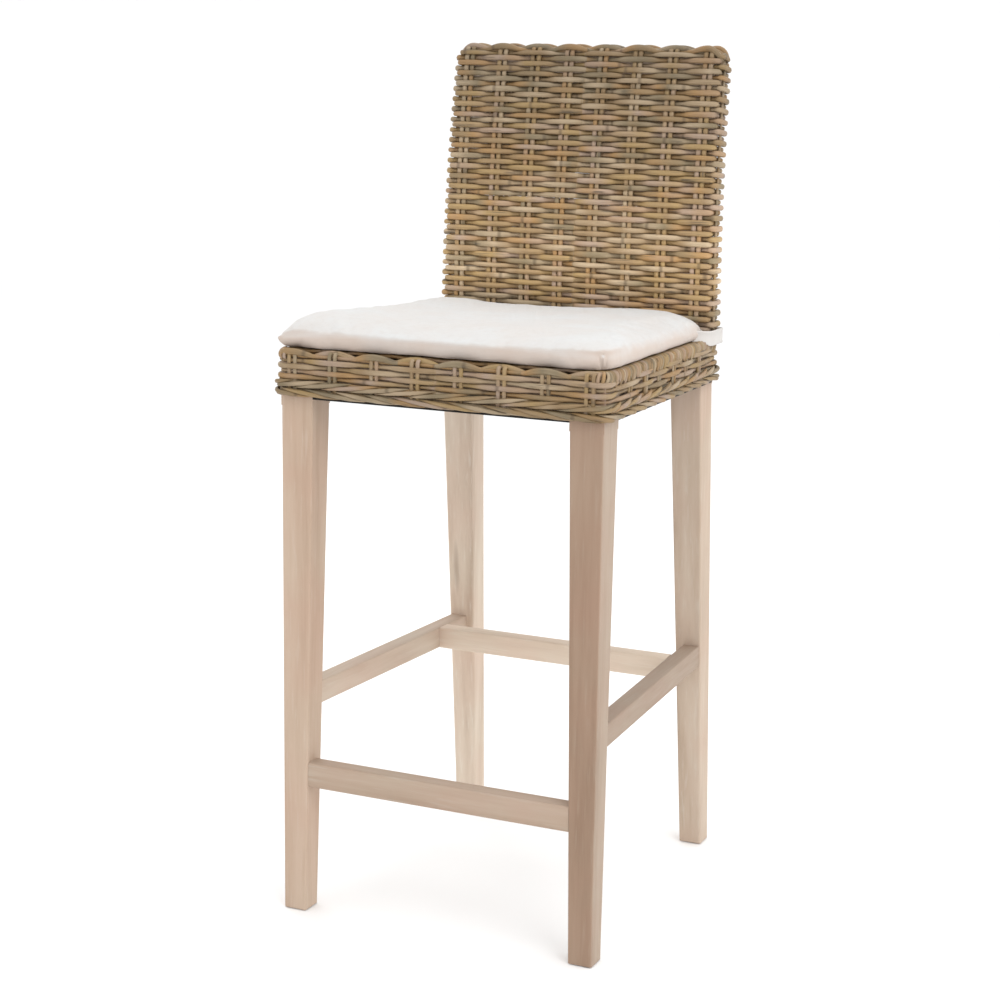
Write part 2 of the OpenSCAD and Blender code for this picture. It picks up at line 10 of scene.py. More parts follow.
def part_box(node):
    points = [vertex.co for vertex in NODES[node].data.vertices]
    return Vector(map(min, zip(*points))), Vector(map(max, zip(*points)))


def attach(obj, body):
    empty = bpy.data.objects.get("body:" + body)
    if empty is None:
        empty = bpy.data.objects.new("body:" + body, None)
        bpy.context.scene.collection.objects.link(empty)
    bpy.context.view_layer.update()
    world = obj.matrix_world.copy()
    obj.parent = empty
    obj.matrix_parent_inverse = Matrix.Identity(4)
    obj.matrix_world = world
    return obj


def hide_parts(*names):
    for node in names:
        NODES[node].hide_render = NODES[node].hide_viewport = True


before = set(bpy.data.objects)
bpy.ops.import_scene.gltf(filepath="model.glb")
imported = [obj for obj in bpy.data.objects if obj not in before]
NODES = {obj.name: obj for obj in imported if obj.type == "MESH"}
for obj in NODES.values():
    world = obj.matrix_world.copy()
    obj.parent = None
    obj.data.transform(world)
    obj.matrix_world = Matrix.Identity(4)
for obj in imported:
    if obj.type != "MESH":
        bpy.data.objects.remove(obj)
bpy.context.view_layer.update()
MM = 0.001
TINY = 0.01 * MM
NEAR = 1 * MM
TAU = 2 * math.pi
STEP = 3 * MM
CANE_STEP = 2.5 * MM
SIDES = ("front", "rear", "left", "right")


# ---- Reading the frame ----

def coords(*names):
    """Vertices of CAD nodes as one array."""
    return np.array([v.co for n in names for v in NODES[n].data.vertices], float)


def hull(points):
    """Corners of the convex outline of 2-D points, anticlockwise."""
    order = convex_hull_2d([Vector(p) for p in points.tolist()])
    loop = points[order]
    area = np.sum(loop[:, 0] * np.roll(loop[:, 1], -1) - loop[:, 1] * np.roll(loop[:, 0], -1))
    return loop if area > 0 else loop[::-1]


FRONT_FIRST = 10
NORMAL_REACH = 4


class Loop:
    """A closed plan outline with its outward normals, measured from the middle of its front."""

    def __init__(self, corners, step=1 * MM):
        ends = np.vstack([corners, corners[:1]])
        at = np.concatenate([[0], np.cumsum(np.linalg.norm(np.diff(ends, axis=0), axis=1))])
        count = int(at[-1] / step)
        s = np.arange(count) * at[-1] / count
        p = np.stack([np.interp(s, at, ends[:, i]) for i in (0, 1)], 1)
        start = np.argmin(np.abs(p[:, 0]) + FRONT_FIRST * (p[:, 1] - p[:, 1].min()))
        p = np.roll(p, -start, axis=0)
        along = np.roll(p, -NORMAL_REACH, axis=0) - np.roll(p, NORMAL_REACH, axis=0)
        along /= np.linalg.norm(along, axis=1)[:, None]
        self.p, self.s, self.length = p, s, at[-1]
        self.normal = np.stack([along[:, 1], -along[:, 0]], 1)

    def at(self, s, deep=0.0):
        """Point and outward normal at distance s along the outline, deep inside it."""
        s = np.mod(s, self.length)
        wrap = np.append(self.s, self.length)
        p, n = (
            np.stack([np.interp(s, wrap, np.append(a[:, i], a[0, i])) for i in (0, 1)], 1)
            for a in (self.p, self.normal)
        )
        n /= np.linalg.norm(n, axis=1)[:, None]
        return p - n * np.reshape(deep, (-1, 1)), n

    def nearest(self, x, y):
        """Distance along the outline of its point nearest to x, y."""
        return self.s[np.argmin(np.hypot(self.p[:, 0] - x, self.p[:, 1] - y))]


def new_piece(name, mesh, material):
    """A smooth-shaded object of that mesh, put in the scene."""
    mesh.polygons.foreach_set("use_smooth", [True] * len(mesh.polygons))
    mesh.materials.append(material)
    piece = bpy.data.objects.new(name, mesh)
    bpy.context.scene.collection.objects.link(piece)
    return piece


# ---- Strands ----

class Strands:
    """Collects canes of oval section into one mesh, tagged for the rattan material."""

    def __init__(self, seed):
        self.random = np.random.default_rng(seed)
        self.points, self.faces, self.tags, self.count = [], [], [], 0

    def add(self, path, out, tall, deep, closed=False, sides=8):
        """A cane along path; tall and deep are its half sizes across and along the out vectors."""
        n = len(path)
        if closed:
            along = np.roll(path, -1, axis=0) - np.roll(path, 1, axis=0)
        else:
            along = np.gradient(path, axis=0)
        step = np.linalg.norm(along, axis=1)
        along = along / step[:, None]
        side = np.cross(along, out)
        side /= np.linalg.norm(side, axis=1)[:, None]
        face = np.cross(side, along)
        turn = np.arange(sides) * TAU / sides
        tall, deep = (np.broadcast_to(size, n)[:, None, None] for size in (tall, deep))
        ring = (
            path[:, None]
            + face[:, None] * np.cos(turn)[None, :, None] * deep
            + side[:, None] * np.sin(turn)[None, :, None] * tall
        )
        self.add_faces(n, sides, closed)
        self.add_tags(path, turn)
        self.points.append(ring.reshape(-1, 3))
        self.count += n * sides

    def add_faces(self, n, sides, closed):
        """Quads between n rings, and a face over each end unless the cane is closed."""
        i = np.arange(n if closed else n - 1)[:, None]
        j = np.arange(sides)[None, :]
        k, m = (i + 1) % n, (j + 1) % sides
        quads = np.stack([i * sides + j, i * sides + m, k * sides + m, k * sides + j], -1)
        self.faces += (quads.reshape(-1, 4) + self.count).tolist()
        if not closed:
            first = np.arange(sides) + self.count
            self.faces += [first[::-1].tolist(), (first + (n - 1) * sides).tolist()]

    def add_tags(self, path, turn):
        """For the material: a number of the strand's own, metres along it and the turn round it."""
        distance = np.concatenate([[0], np.cumsum(np.linalg.norm(np.diff(path, axis=0), axis=1))])
        distance += self.random.uniform(0, 3)
        tag = np.zeros((len(path), len(turn), 3))
        tag[..., 0] = self.random.uniform(0, 1)
        tag[..., 1] = distance[:, None]
        tag[..., 2] = turn[None, :] / TAU
        self.tags.append(tag.reshape(-1, 3))

    def build(self, name, material, replaced):
        """The mesh object, riding on the frame in place of the CAD nodes."""
        mesh = bpy.data.meshes.new(name)
        mesh.from_pydata(np.vstack(self.points).tolist(), [], self.faces)
        tag = mesh.attributes.new("strand", "FLOAT_VECTOR", "POINT")
        tag.data.foreach_set("vector", np.vstack(self.tags).ravel())
        piece = new_piece(name, mesh, material)
        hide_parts(*replaced)
        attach(piece, "root")
        return piece


def wobble(random, s, length, size, waves=5):
    """A smooth random curve that closes over a loop of that length."""
    total = np.zeros_like(s)
    for k in range(1, waves + 1):
        height = random.normal()
        total += height * np.sin(TAU * k * s / length + random.uniform(0, TAU)) / math.sqrt(waves)
    return total * size


WEAVE_FIRM = 1.6
ARCH_FIRM = 0.4


def passes(s, stakes, length, first, firm=WEAVE_FIRM):
    """From +1 in front of a stake to -1 behind the next, round a loop with an even number of stakes.
    A firm strand stays level past a stake and crosses over quickly."""
    at = np.sort(stakes)
    at = np.concatenate([[at[-1] - length], at, [at[0] + length]])
    turn = np.interp(np.mod(s, length), at, np.arange(-1, len(at) - 1) * math.pi) + first * math.pi
    return np.tanh(firm * np.cos(turn)) / math.tanh(firm)


# ---- The back ----

TOP_ROUND = 26 * MM


class Back:
    """The back as the frame gives it: an upright front face that sweeps to the rear on an arc."""

    def __init__(self):
        skin = coords("back_weave_front")
        self.y0, self.low = skin[:, 1].min(), skin[:, 2].min()
        self.bend = skin[skin[:, 1] < self.y0 + TINY, 2].max()
        top = skin[skin[:, 2] > skin[:, 2].max() - TINY]
        rise, run = top[0, 2] - self.bend, top[:, 1].min() - self.y0
        self.radius = (rise**2 + run**2) / (2 * run)
        self.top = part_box("back_border")[1].z
        rear = coords("back_weave_rear")
        self.thick = rear[rear[:, 2] < self.low + TINY, 1].max() - self.y0
        outline = hull(coords("back_weave_front", "back_border")[:, [0, 2]])
        right = outline[outline[:, 0] > 0]
        self.outline = right[np.argsort(right[:, 1])]
        self.flat = right[right[:, 1] > self.top - TINY, 0].max()

    def half_width(self, z):
        return np.interp(z, self.outline[:, 1], self.outline[:, 0])

    def crest(self, x, inset):
        """Height at x of a line inset from the top edge, which follows its round corners."""
        round_r = self.half_width(self.top - TOP_ROUND) - self.flat
        r = round_r - inset
        beyond = np.clip(np.abs(x) - self.flat, 0, r)
        return self.top - round_r + np.sqrt(r**2 - beyond**2)

    def place(self, x, h, t):
        """Point at x, height h along the front face, depth t behind it; and the depth direction."""
        x, h, t = np.broadcast_arrays(x, h, t)
        turn = np.maximum(h - (self.bend - self.low), 0) / self.radius
        r = self.radius - t
        y = self.y0 + self.radius - r * np.cos(turn)
        z = np.where(turn > 0, self.bend + r * np.sin(turn), self.low + h)
        inward = np.stack([np.zeros_like(y), np.cos(turn), -np.sin(turn)], -1)
        return np.stack([x, y, z], -1), inward

    def height(self, z):
        """Height along the front face of the point at z."""
        return self.bend - self.low + self.radius * np.arcsin((z - self.bend) / self.radius)


BACK = Back()
BACK_PITCH = 51.5 * MM
PAIRS = (np.arange(8) - 3.5) * BACK_PITCH
PAIR_GAP = 8.4 * MM

# Rows of the weave: OVER and UNDER are a strand's depths where it passes before and behind a pair.
ROW_PITCH = 7.3 * MM
ROWS_TOP = BACK.height(BACK.top - 10.5 * MM)
ROWS = round(ROWS_TOP / ROW_PITCH)
CORNER = 9 * MM
OVER = 1.2 * MM
UNDER = 9.4 * MM
ROW_WOBBLE = 0.25 * MM
ROW_TALL, ROW_SWELL = 3.5, 0.35
ROW_DEEP = 2.6 * MM

# Uprights: half sizes, the depth of their middles, and the curl at their tips.
UPRIGHT = 3.5 * MM
UPRIGHT_DEEP = 2.1 * MM
UPRIGHT_IN = 4.6 * MM
UPRIGHT_SWAY = 1.4 * MM
UPRIGHT_LOW = 2 * MM
CURL_R = 4 * MM
CURL_STEP = 20
CURL_END = 100
EDGE_CANE_IN = 5.3 * MM
EDGE_CANE_DEEP = 1.9 * MM
EDGE_CANE_SHORT = 14 * MM

# The rim along the top.
RIM_INSET = 5.0 * MM
RIM_DEEP = 3.2 * MM
RIM_CORNER = 12 * MM
ARCH_LIFT = 5.2
ARCH_DROP = 5.6
FILLER_DROP = 9 * MM
TOP_STRANDS = 4


def rounded_box(half, thick, r):
    """Plan outline of the back, with x across and depth behind its front face."""
    near, far = r, thick - r
    centres = [(half - r, near, -90), (half - r, far, 0), (r - half, far, 90), (r - half, near, 180)]
    points = [
        (x + r * math.cos(math.radians(a)), y + r * math.sin(math.radians(a)))
        for x, y, start in centres
        for a in np.linspace(start, start + 90, 8)
    ]
    return np.array(points)


def back_stakes(loop, half):
    """Places of the upright canes round a row of the back."""
    places = [loop.nearest(x, 0) for x in PAIRS] + [loop.nearest(x, BACK.thick) for x in PAIRS]
    return places + [loop.nearest(side * half, BACK.thick / 2) for side in (-1, 1)]


def outward(n, inward):
    """Outward vectors in space, from plan normals of the back's outline and its depth direction."""
    zero = np.zeros(len(n))
    return np.stack([n[:, 0], zero, zero], -1) + inward * n[:, 1:]


def back_row(strands, k):
    """Row k of the weave round the back."""
    h = (k + 0.5) * ROWS_TOP / ROWS
    half = BACK.half_width(BACK.place(0, h, 0)[0][2])
    loop = Loop(rounded_box(half, BACK.thick, CORNER))
    s = np.arange(0, loop.length, STEP)
    wave = passes(s, back_stakes(loop, half), loop.length, (ROWS - 1 - k) % 2)
    p, n = loop.at(s, (OVER + UNDER) / 2 - (UNDER - OVER) / 2 * wave)
    lift = wobble(strands.random, s, loop.length, ROW_WOBBLE)
    path, inward = BACK.place(p[:, 0], h + lift, p[:, 1])
    size = 1 + 0.05 * strands.random.normal() + wobble(strands.random, s, loop.length, 0.04)
    tall = (ROW_TALL + ROW_SWELL * wave) * MM * size
    strands.add(path, outward(n, inward), tall, ROW_DEEP, closed=True)


def back_weave(material):
    """All the rows round the back."""
    strands = Strands(11)
    for k in range(ROWS):
        back_row(strands, k)
    return strands.build("back_wicker", material, [f"back_weave_{side}" for side in SIDES])


def curl(h, t, sign, r):
    """Heights and depths of a cane that rises through h and curls over inwards on a radius r."""
    turn = np.radians(np.arange(CURL_STEP, CURL_END + 1, CURL_STEP))
    h = np.concatenate([h, h[-1] + r * np.sin(turn)])
    return h, np.concatenate([t, t[-1] + sign * r * (1 - np.cos(turn))])


def back_uprights(material):
    """Pairs of canes up the front and the rear that curl over at the top, and one up each side."""
    strands = Strands(12)
    for t0, sign in ((UPRIGHT_IN, 1), (BACK.thick - UPRIGHT_IN, -1)):
        for i, x in enumerate(PAIRS):
            proud = (i + 1) % 2
            h = np.arange(UPRIGHT_LOW, ROWS_TOP - (1 - 2.5 * proud) * MM, CANE_STEP)
            sway = UPRIGHT_SWAY * np.cos(math.pi * (ROWS - 0.5 - h / ROWS_TOP * ROWS + i)) * sign
            for s in (-1, 1):
                slip = strands.random.normal() * 0.3 * MM
                tip_h, tip_t = curl(h, t0 + sway, sign, CURL_R)
                path, inward = BACK.place(x + s * PAIR_GAP / 2 + slip, tip_h, tip_t)
                strands.add(path, -inward * sign, UPRIGHT, UPRIGHT_DEEP)
    h = np.arange(UPRIGHT_LOW, ROWS_TOP - EDGE_CANE_SHORT, CANE_STEP)
    for side in (-1, 1):
        z = BACK.place(0, h, 0)[0][:, 2]
        path, _ = BACK.place(side * (BACK.half_width(z) - EDGE_CANE_IN), h, BACK.thick / 2)
        strands.add(path, np.tile([side, 0.0, 0.0], (len(path), 1)), UPRIGHT, EDGE_CANE_DEEP)
    return strands.build("back_uprights", material, ["back_canes_front", "back_canes_rear"])


def arches(wave, which):
    """Depth, lift and half height of a rim strand. Strand 0 arches over alternate pairs of uprights, and
    strand 1 stays behind them and arches at the pairs between."""
    if which == 0:
        deep, up, tall, swell = 5.8 - 3.8 * wave, np.maximum(wave, 0), 3.0, 1.3
    else:
        deep, up, tall, swell = 8.6 + 0.6 * wave, np.maximum(-wave, 0), 3.2, 1.0
    return deep * MM, (ARCH_LIFT * up - ARCH_DROP) * MM, (tall + swell * up) * MM


def back_border(material):
    """The rim of the back: a strand in arches over the pairs, one behind it, a filler below them, and
    strands along the top between the two faces."""
    strands = Strands(13)
    half = BACK.half_width(BACK.top - TOP_ROUND)
    loop = Loop(rounded_box(half, BACK.thick, RIM_CORNER))
    s = np.arange(0, loop.length, STEP)
    h = BACK.height(BACK.top - RIM_INSET)
    wave = passes(s, back_stakes(loop, half), loop.length, 1, ARCH_FIRM)
    for which in (0, 1):
        deep, lift, tall = arches(wave, which)
        p, n = loop.at(s, deep)
        path, inward = BACK.place(p[:, 0], h, p[:, 1])
        path[:, 2] = BACK.crest(p[:, 0], RIM_INSET) + lift
        strands.add(path, outward(n, inward), tall, RIM_DEEP, closed=True)
    p, n = loop.at(s, 9.5 * MM)
    path, inward = BACK.place(p[:, 0], h, p[:, 1])
    path[:, 2] = BACK.crest(p[:, 0], RIM_INSET) - FILLER_DROP
    strands.add(path, np.column_stack([n, np.zeros(len(n))]), 4.5 * MM, 2.5 * MM, closed=True)
    x = np.arange(STEP - half, half - STEP, STEP)
    for k, t in enumerate(np.linspace(13, BACK.thick / MM - 12, TOP_STRANDS) * MM):
        wave = np.cos(math.pi * (x / BACK_PITCH - 0.5 + k))
        path, _ = BACK.place(x, h, t)
        path[:, 2] = BACK.crest(x, 9.5 * MM) + 1.2 * MM * wave
        strands.add(path, np.tile([0.0, 0.0, 1.0], (len(x), 1)), 3.3 * MM, 2.7 * MM)
    return strands.build("back_top_border", material, ["back_border"])


# ---- The seat box ----

class SeatBox:
    """Outlines and slope of the seat box, read off the frame."""

    def __init__(self):
        rim, weave, braid = (
            coords(*(f"seat_{part}_{side}" for side in SIDES)) for part in ("rim", "weave", "braid")
        )
        self.rim, self.weave, self.braid = (Loop(hull(part[:, :2])) for part in (rim, weave, braid))
        self.front, self.rear = rim[:, 1].min(), rim[:, 1].max()
        self.high = rim[rim[:, 1] < self.front + NEAR, 2].max()
        low = rim[rim[:, 1] > self.rear - NEAR, 2].max()
        self.slope = (self.high - low) / (self.rear - self.front)

    def z(self, h, y):
        """Height at depth y of what is at height h at the front."""
        return h - (y - self.front) * self.slope


SEAT = SeatBox()
SEAT_PITCH = 59 * MM
SEAT_PAIRS = (np.arange(8) - 3.5) * SEAT_PITCH
SIDE_PAIRS = (np.arange(6) - 2.5) * SEAT_PITCH - 18 * MM
FAR_RIGHT = 0.3

# Heights at the front, from the top of the rim down to the foot of the braid.
SEAT_ROWS = 4
RIM_TOP = SEAT.high
RIM_LOW = RIM_TOP - 14 * MM
BRAID_LOW = RIM_TOP - 61.5 * MM
BRAID_TOP = BRAID_LOW + 22 * MM

SEAT_ROW_WOBBLE = 0.4 * MM
SEAT_ROW_TALL, SEAT_ROW_SWELL = 3.1, 0.4
SEAT_ROW_DEEP = 2.4 * MM
SEAT_CANE = 2.9 * MM
SEAT_CANE_DEEP = 2.1 * MM
SEAT_CURL_R = 4.2 * MM

# The rim's strands: how far past the last pair they reach, and the length over which they fall away.
FRONT_REACH = 34 * MM
REAR_REACH = 16 * MM
FALL_AWAY = 26 * MM
FALL = 8 * MM

# The strands across the seat.
WRAP_PITCH = 6.0 * MM
WRAP_SIZE = 2.3 * MM
WRAP_ROUND = 7 * MM
WRAP_IN = 1.2 * MM
WRAP_DOWN = 2.6 * MM
WRAP_SWAY = 0.8 * MM
WRAP_SIDES = 6
CORNER_CURLS = 4
CORNER_CURL_R = 6 * MM

# The braid: strands this far apart that each reach over a little more than two pitches.
BRAID_PITCH = 41 * MM
BRAID_REACH = 2.1
BRAID_SPREAD = 9.4
BRAID_START = 0.9


def seat_stakes(loop):
    """Places of the upright pairs along an outline of the seat box."""
    front, rear = loop.p[:, 1].min(), loop.p[:, 1].max()
    wide = loop.p[:, 0].max()
    places = [loop.nearest(x, front) for x in SEAT_PAIRS]
    places += [loop.nearest(x, rear) for x in PAIRS]
    return places + [loop.nearest(side * wide, y) for side in (-1, 1) for y in SIDE_PAIRS]


def ring_path(loop, s, deep, height):
    """Points and outward vectors along the seat box."""
    p, n = loop.at(s, deep)
    path = np.column_stack([p, SEAT.z(height, p[:, 1])])
    return path, np.column_stack([n, np.zeros(len(n))])


def seat_weave(material):
    """Rows round the seat box, between its rim and its braid."""
    strands = Strands(21)
    loop = SEAT.weave
    s = np.arange(0, loop.length, STEP)
    stakes = seat_stakes(loop)
    for k in range(SEAT_ROWS):
        wave = passes(s, stakes, loop.length, k % 2)
        deep = 3.8 * MM - 2.3 * MM * wave
        height = BRAID_TOP + (RIM_LOW + 2 * MM - BRAID_TOP) * (k + 0.5) / SEAT_ROWS
        height = height + wobble(strands.random, s, loop.length, SEAT_ROW_WOBBLE)
        path, out = ring_path(loop, s, deep, height)
        size = 1 + wobble(strands.random, s, loop.length, 0.05)
        tall = (SEAT_ROW_TALL + SEAT_ROW_SWELL * wave) * MM * size
        strands.add(path, out, tall, SEAT_ROW_DEEP, closed=True)
    return strands.build("seat_wicker", material, [f"seat_weave_{side}" for side in SIDES])


def seat_uprights(material):
    """Pairs of canes up the seat box; every second pair curls over the rim."""
    strands = Strands(22)
    loop = SEAT.weave
    stakes = seat_stakes(loop)
    proud = passes(np.array(stakes), stakes, loop.length, SEAT_ROWS % 2) < 0
    for place, over in zip(stakes, proud):
        below, inside = (7 * MM, 2.6 * MM) if over else (9 * MM, 3.9 * MM)
        h = np.arange(BRAID_LOW + 4 * MM, RIM_TOP - below, CANE_STEP)
        for side in (-1, 1):
            slip = strands.random.normal() * 0.4 * MM
            tip_h, deep = curl(h, np.full(len(h), inside), 1, SEAT_CURL_R)
            along = np.full(len(tip_h), place + side * PAIR_GAP / 2 + slip)
            path, out = ring_path(loop, along, deep, tip_h)
            strands.add(path, out, SEAT_CANE, SEAT_CANE_DEEP)
    return strands.build("seat_uprights", material, ["seat_canes"])


def seat_rim(material):
    """Arched strands along the front and the rear of the rim, with a filler below them; all fall away
    round the corners."""
    strands = Strands(23)
    loop = SEAT.rim
    stakes = seat_stakes(loop)
    half_way = loop.length / 2
    for middle, reach in ((0.0, SEAT_PAIRS[-1] + FRONT_REACH), (half_way, PAIRS[-1] + REAR_REACH)):
        s = np.arange(-reach, reach, STEP)
        end = np.clip((np.abs(s) - reach + FALL_AWAY) / FALL_AWAY, 0, 1) ** 2
        wave = passes(middle + s, stakes, loop.length, SEAT_ROWS % 2, ARCH_FIRM)
        for which in (0, 1):
            deep, lift, tall = arches(wave, which)
            height = RIM_TOP - 3.4 * MM + lift - FALL * end
            path, out = ring_path(loop, middle + s, deep + 2 * MM * end, height)
            strands.add(path, out, tall * (1 - 0.45 * end), RIM_DEEP * (1 - 0.4 * end))
        path, out = ring_path(loop, middle + s, 6.0 * MM, RIM_TOP - FILLER_DROP - FALL / 2 * end)
        strands.add(path, out, 2.8 * MM, 2.6 * MM)
    return strands.build("seat_rim", material, ["seat_rim_front", "seat_rim_rear"])


def wrap(strands, half, y, drop, lean):
    """One strand across the seat, which wraps over the rounded side edges and leans as it comes down."""
    r = WRAP_ROUND
    side = [(half, -drop), (half, -0.5 * (drop + r))]
    side += [
        (half - r + r * math.cos(a), -r + r * math.sin(a)) for a in np.radians(np.linspace(0, 90, 7))
    ]
    side = np.array(side)
    across = np.arange(half - r - 6 * MM, -(half - r - 6 * MM), -6 * MM)
    phase = strands.random.uniform(0, TAU)
    sway = WRAP_SWAY * np.cos(math.pi * across / (24 * MM) + phase) - WRAP_SWAY
    points = np.vstack([side, np.column_stack([across, sway]), (side * [-1, 1])[::-1]])
    x, down = points[:, 0], np.clip(-points[:, 1], 0, drop) / drop
    y = y - lean * down
    path = np.column_stack([x, y, SEAT.z(RIM_TOP - WRAP_DOWN + points[:, 1], y)])
    flat = np.clip(np.abs(x) - half + r, 0, r) / r
    rise = np.clip(points[:, 1] + r, 0, r) / r
    out = np.column_stack([np.sign(x) * flat, np.zeros(len(x)), np.where(flat > 0, rise, 1.0)])
    out /= np.linalg.norm(out, axis=1)[:, None]
    tall = WRAP_SIZE * strands.random.uniform(0.84, 1.06)
    strands.add(path, out, tall, WRAP_SIZE, sides=WRAP_SIDES)


def corner_curls(strands, loop):
    """Short canes that wrap the rim round its two front corners."""
    turn = np.radians(np.linspace(-70, 90, 9))
    r = CORNER_CURL_R
    for side in (-1, 1):
        corner = loop.nearest(side * FAR_RIGHT, SEAT.front - 0.2)
        for k in range(CORNER_CURLS):
            s = np.full(len(turn), corner + side * (k * 7 - 4) * MM)
            deep = r + 0.8 * MM - r * np.cos(turn)
            path, out = ring_path(loop, s, deep, RIM_TOP - 7.5 * MM + r * np.sin(turn))
            path[:, 1] += 3 * MM * np.sin(turn)
            out = out * np.cos(turn)[:, None] + np.column_stack([turn * 0, turn * 0, np.sin(turn)])
            strands.add(path, out, 2.4 * MM, 2.0 * MM, sides=WRAP_SIDES)


def seat_deck(material):
    """Strands across the seat that wrap over its two side edges."""
    strands = Strands(24)
    loop = SEAT.rim
    for place in np.arange(SEAT.front + 20 * MM, SEAT.rear - 8 * MM, WRAP_PITCH):
        y = place + strands.random.normal() * 0.5 * MM
        half = loop.at(np.array([loop.nearest(FAR_RIGHT, y)]))[0][0, 0] - WRAP_IN
        drop = strands.random.uniform(11, 19) * MM
        wrap(strands, half, y, drop, strands.random.uniform(5, 11) * MM)
    corner_curls(strands, loop)
    return strands.build("seat_deck_weave", material, ["seat_deck", "seat_rim_left", "seat_rim_right"])


def seat_braid(material):
    """Two rows of long strands under the weave, opening like arrowheads from their middle line."""
    strands = Strands(25)
    loop = SEAT.braid
    count = round(loop.length / BRAID_PITCH)
    pitch = loop.length / count
    t = np.linspace(0, 1, 36)
    middle = (BRAID_LOW + BRAID_TOP) / 2
    body = np.interp(t, [0, 0.14, 0.4, 0.75, 1], [0.2, 0.72, 1, 1, 0.3])
    sink = np.where(t < 0.5, 4.0, 6.4) * np.abs(2 * t - 1) ** 2.2
    for rise in (1, -1):
        for i in range(count):
            slip = strands.random.normal() * 2 * MM
            s = (i + (rise < 0) / 2) * pitch + slip + t * BRAID_REACH * pitch
            height = middle + rise * (BRAID_START + BRAID_SPREAD * t) * MM
            path, out = ring_path(loop, s, (2.6 + sink) * MM, height)
            size = strands.random.uniform(0.94, 1.06) * MM
            strands.add(path, out, 2.8 * body * size, 2.5 * body * size)
        fill = np.arange(0, loop.length, 4 * MM)
        path, out = ring_path(loop, fill, 9 * MM, middle + rise * 5.5 * MM)
        strands.add(path, out, 5.2 * MM, 2.5 * MM, closed=True)
    return strands.build("seat_braid", material, [f"seat_braid_{side}" for side in SIDES])


# ---- The cushion and its straps ----

# The pad's two sheets, in millimetres: the seam lies SEAM_UP above the seat, the upper sheet crowns over
# it, and from SIDE_FROM outwards the lower sheet turns up to it in a bulging side.
SIDE_FROM = 0.965
SEAM_UP, SEAM_REAR_DOWN = 19.5, 6
CROWN, CROWN_LEFT, CROWN_REAR = 13, 11, 3.5
SIDE_BULGE = 5
ROUND_TUCK = 15
PAD_COLUMNS, PAD_ROWS = 96, 84
PRESSURE = 4
SIM_FRAMES = 20
PUFF_CAP = 7 * MM
PUFF_SHARE = 0.6
SEAM_PINCH = 1.2 * MM
STRAP_THICK = 1.5 * MM
SPREAD_LENGTH = 40 * MM


class Pad:
    """The cushion's form: u runs from left to right and v from front to rear, both from -1 to 1."""

    def __init__(self):
        low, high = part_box("cushion_cover")
        cover = coords("cushion_cover")
        rear = cover[cover[:, 1] > high.y - NEAR]
        self.half = (high.x + 6 * MM, rear[:, 0].max() + 8 * MM)
        self.front, self.rear = low.y - 1 * MM, high.y - 1.5 * MM

    def rest(self, y):
        """Height of the seat under the cushion."""
        return SEAT.z(RIM_TOP + 0.3 * MM, y)

    def point(self, u, v, face):
        """A point of the upper sheet (face 1), the lower one (face -1) or, at the edge, their seam."""
        border = [np.clip((np.abs(w) - SIDE_FROM) / (1 - SIDE_FROM), 0, 1) for w in (u, v)]
        bulge = np.zeros_like(u)
        if face < 0:
            u, v = (np.sign(w) * np.interp(np.abs(w), [0, SIDE_FROM, 1], [0, 0.992, 1]) for w in (u, v))
            bulge = SIDE_BULGE * MM * np.sin(math.pi * np.maximum(*border)) ** 0.7
        across = 0.5 * (1 + v)
        corner = (np.abs(u) * np.abs(v)) ** 9
        round_corner = corner * ((u > 0) & (v < 0))
        tuck = ROUND_TUCK * MM * round_corner + 2 * MM * corner
        half = self.half[0] + (self.half[1] - self.half[0]) * across + bulge * border[0] ** 0.2
        x = u * half - np.sign(u) * tuck
        y = self.front + (self.rear - self.front) * across + 2 * MM * (1 - u**2) * (v < 0) * v**2
        y = y - np.sign(v) * tuck - (v < 0) * bulge * border[1] ** 0.2
        seam = self.rest(y) + (SEAM_UP - SEAM_REAR_DOWN * across * np.abs(u) ** 4) * MM
        seam = seam - (1 * corner + 3.5 * (corner - round_corner) * (v < 0)) * MM
        if face > 0:
            body = (1 - np.abs(u) ** 20) * (1 - np.abs(v) ** np.where(v < 0, 8, 18))
            tied = np.where((u > 0) & (v > 0), (np.abs(u) * np.abs(v)) ** 12, 0)
            left = CROWN_LEFT * np.clip(-u, 0, 1) ** 3 * (1 - np.abs(v) ** 10)
            rear = CROWN_REAR * across * np.clip(0.5 + u, 0, 1)
            z = seam + (CROWN + left + rear) * MM * body**0.42 * (1 - 0.5 * tied)
        else:
            fall = (1 - border[0]) * (1 - border[1])
            z = seam - 21 * MM * fall * (1 - 0.5 * (corner - round_corner))
        return np.stack([x, y, np.maximum(z, self.rest(y))], -1)


def spaced(count):
    """Values from -1 to 1 that lie closer together towards the ends."""
    t = np.linspace(-1, 1, count)
    return 0.4 * t + 0.6 * np.sin(0.5 * math.pi * t)


def pad_mesh(pad, columns, rows):
    """Two sheets that share the seam round their edge, as one closed mesh; and the seam's vertices."""
    v, u = np.meshgrid(spaced(rows), spaced(columns), indexing="ij")
    top, bottom = (pad.point(u, v, face).reshape(-1, 3) for face in (1, -1))
    edge = ((np.abs(u) > 1 - 1e-9) | (np.abs(v) > 1 - 1e-9)).ravel()
    index = np.arange(rows * columns)
    under = np.where(edge, index, np.cumsum(~edge) - 1 + rows * columns)
    grid = index.reshape(rows, columns)
    quads = np.stack([grid[:-1, :-1], grid[:-1, 1:], grid[1:, 1:], grid[1:, :-1]], -1).reshape(-1, 4)
    mesh = bpy.data.meshes.new("cushion")
    mesh.from_pydata(
        np.vstack([top, bottom[~edge]]).tolist(), [], quads.tolist() + under[quads][:, ::-1].tolist()
    )
    return mesh, np.flatnonzero(edge)


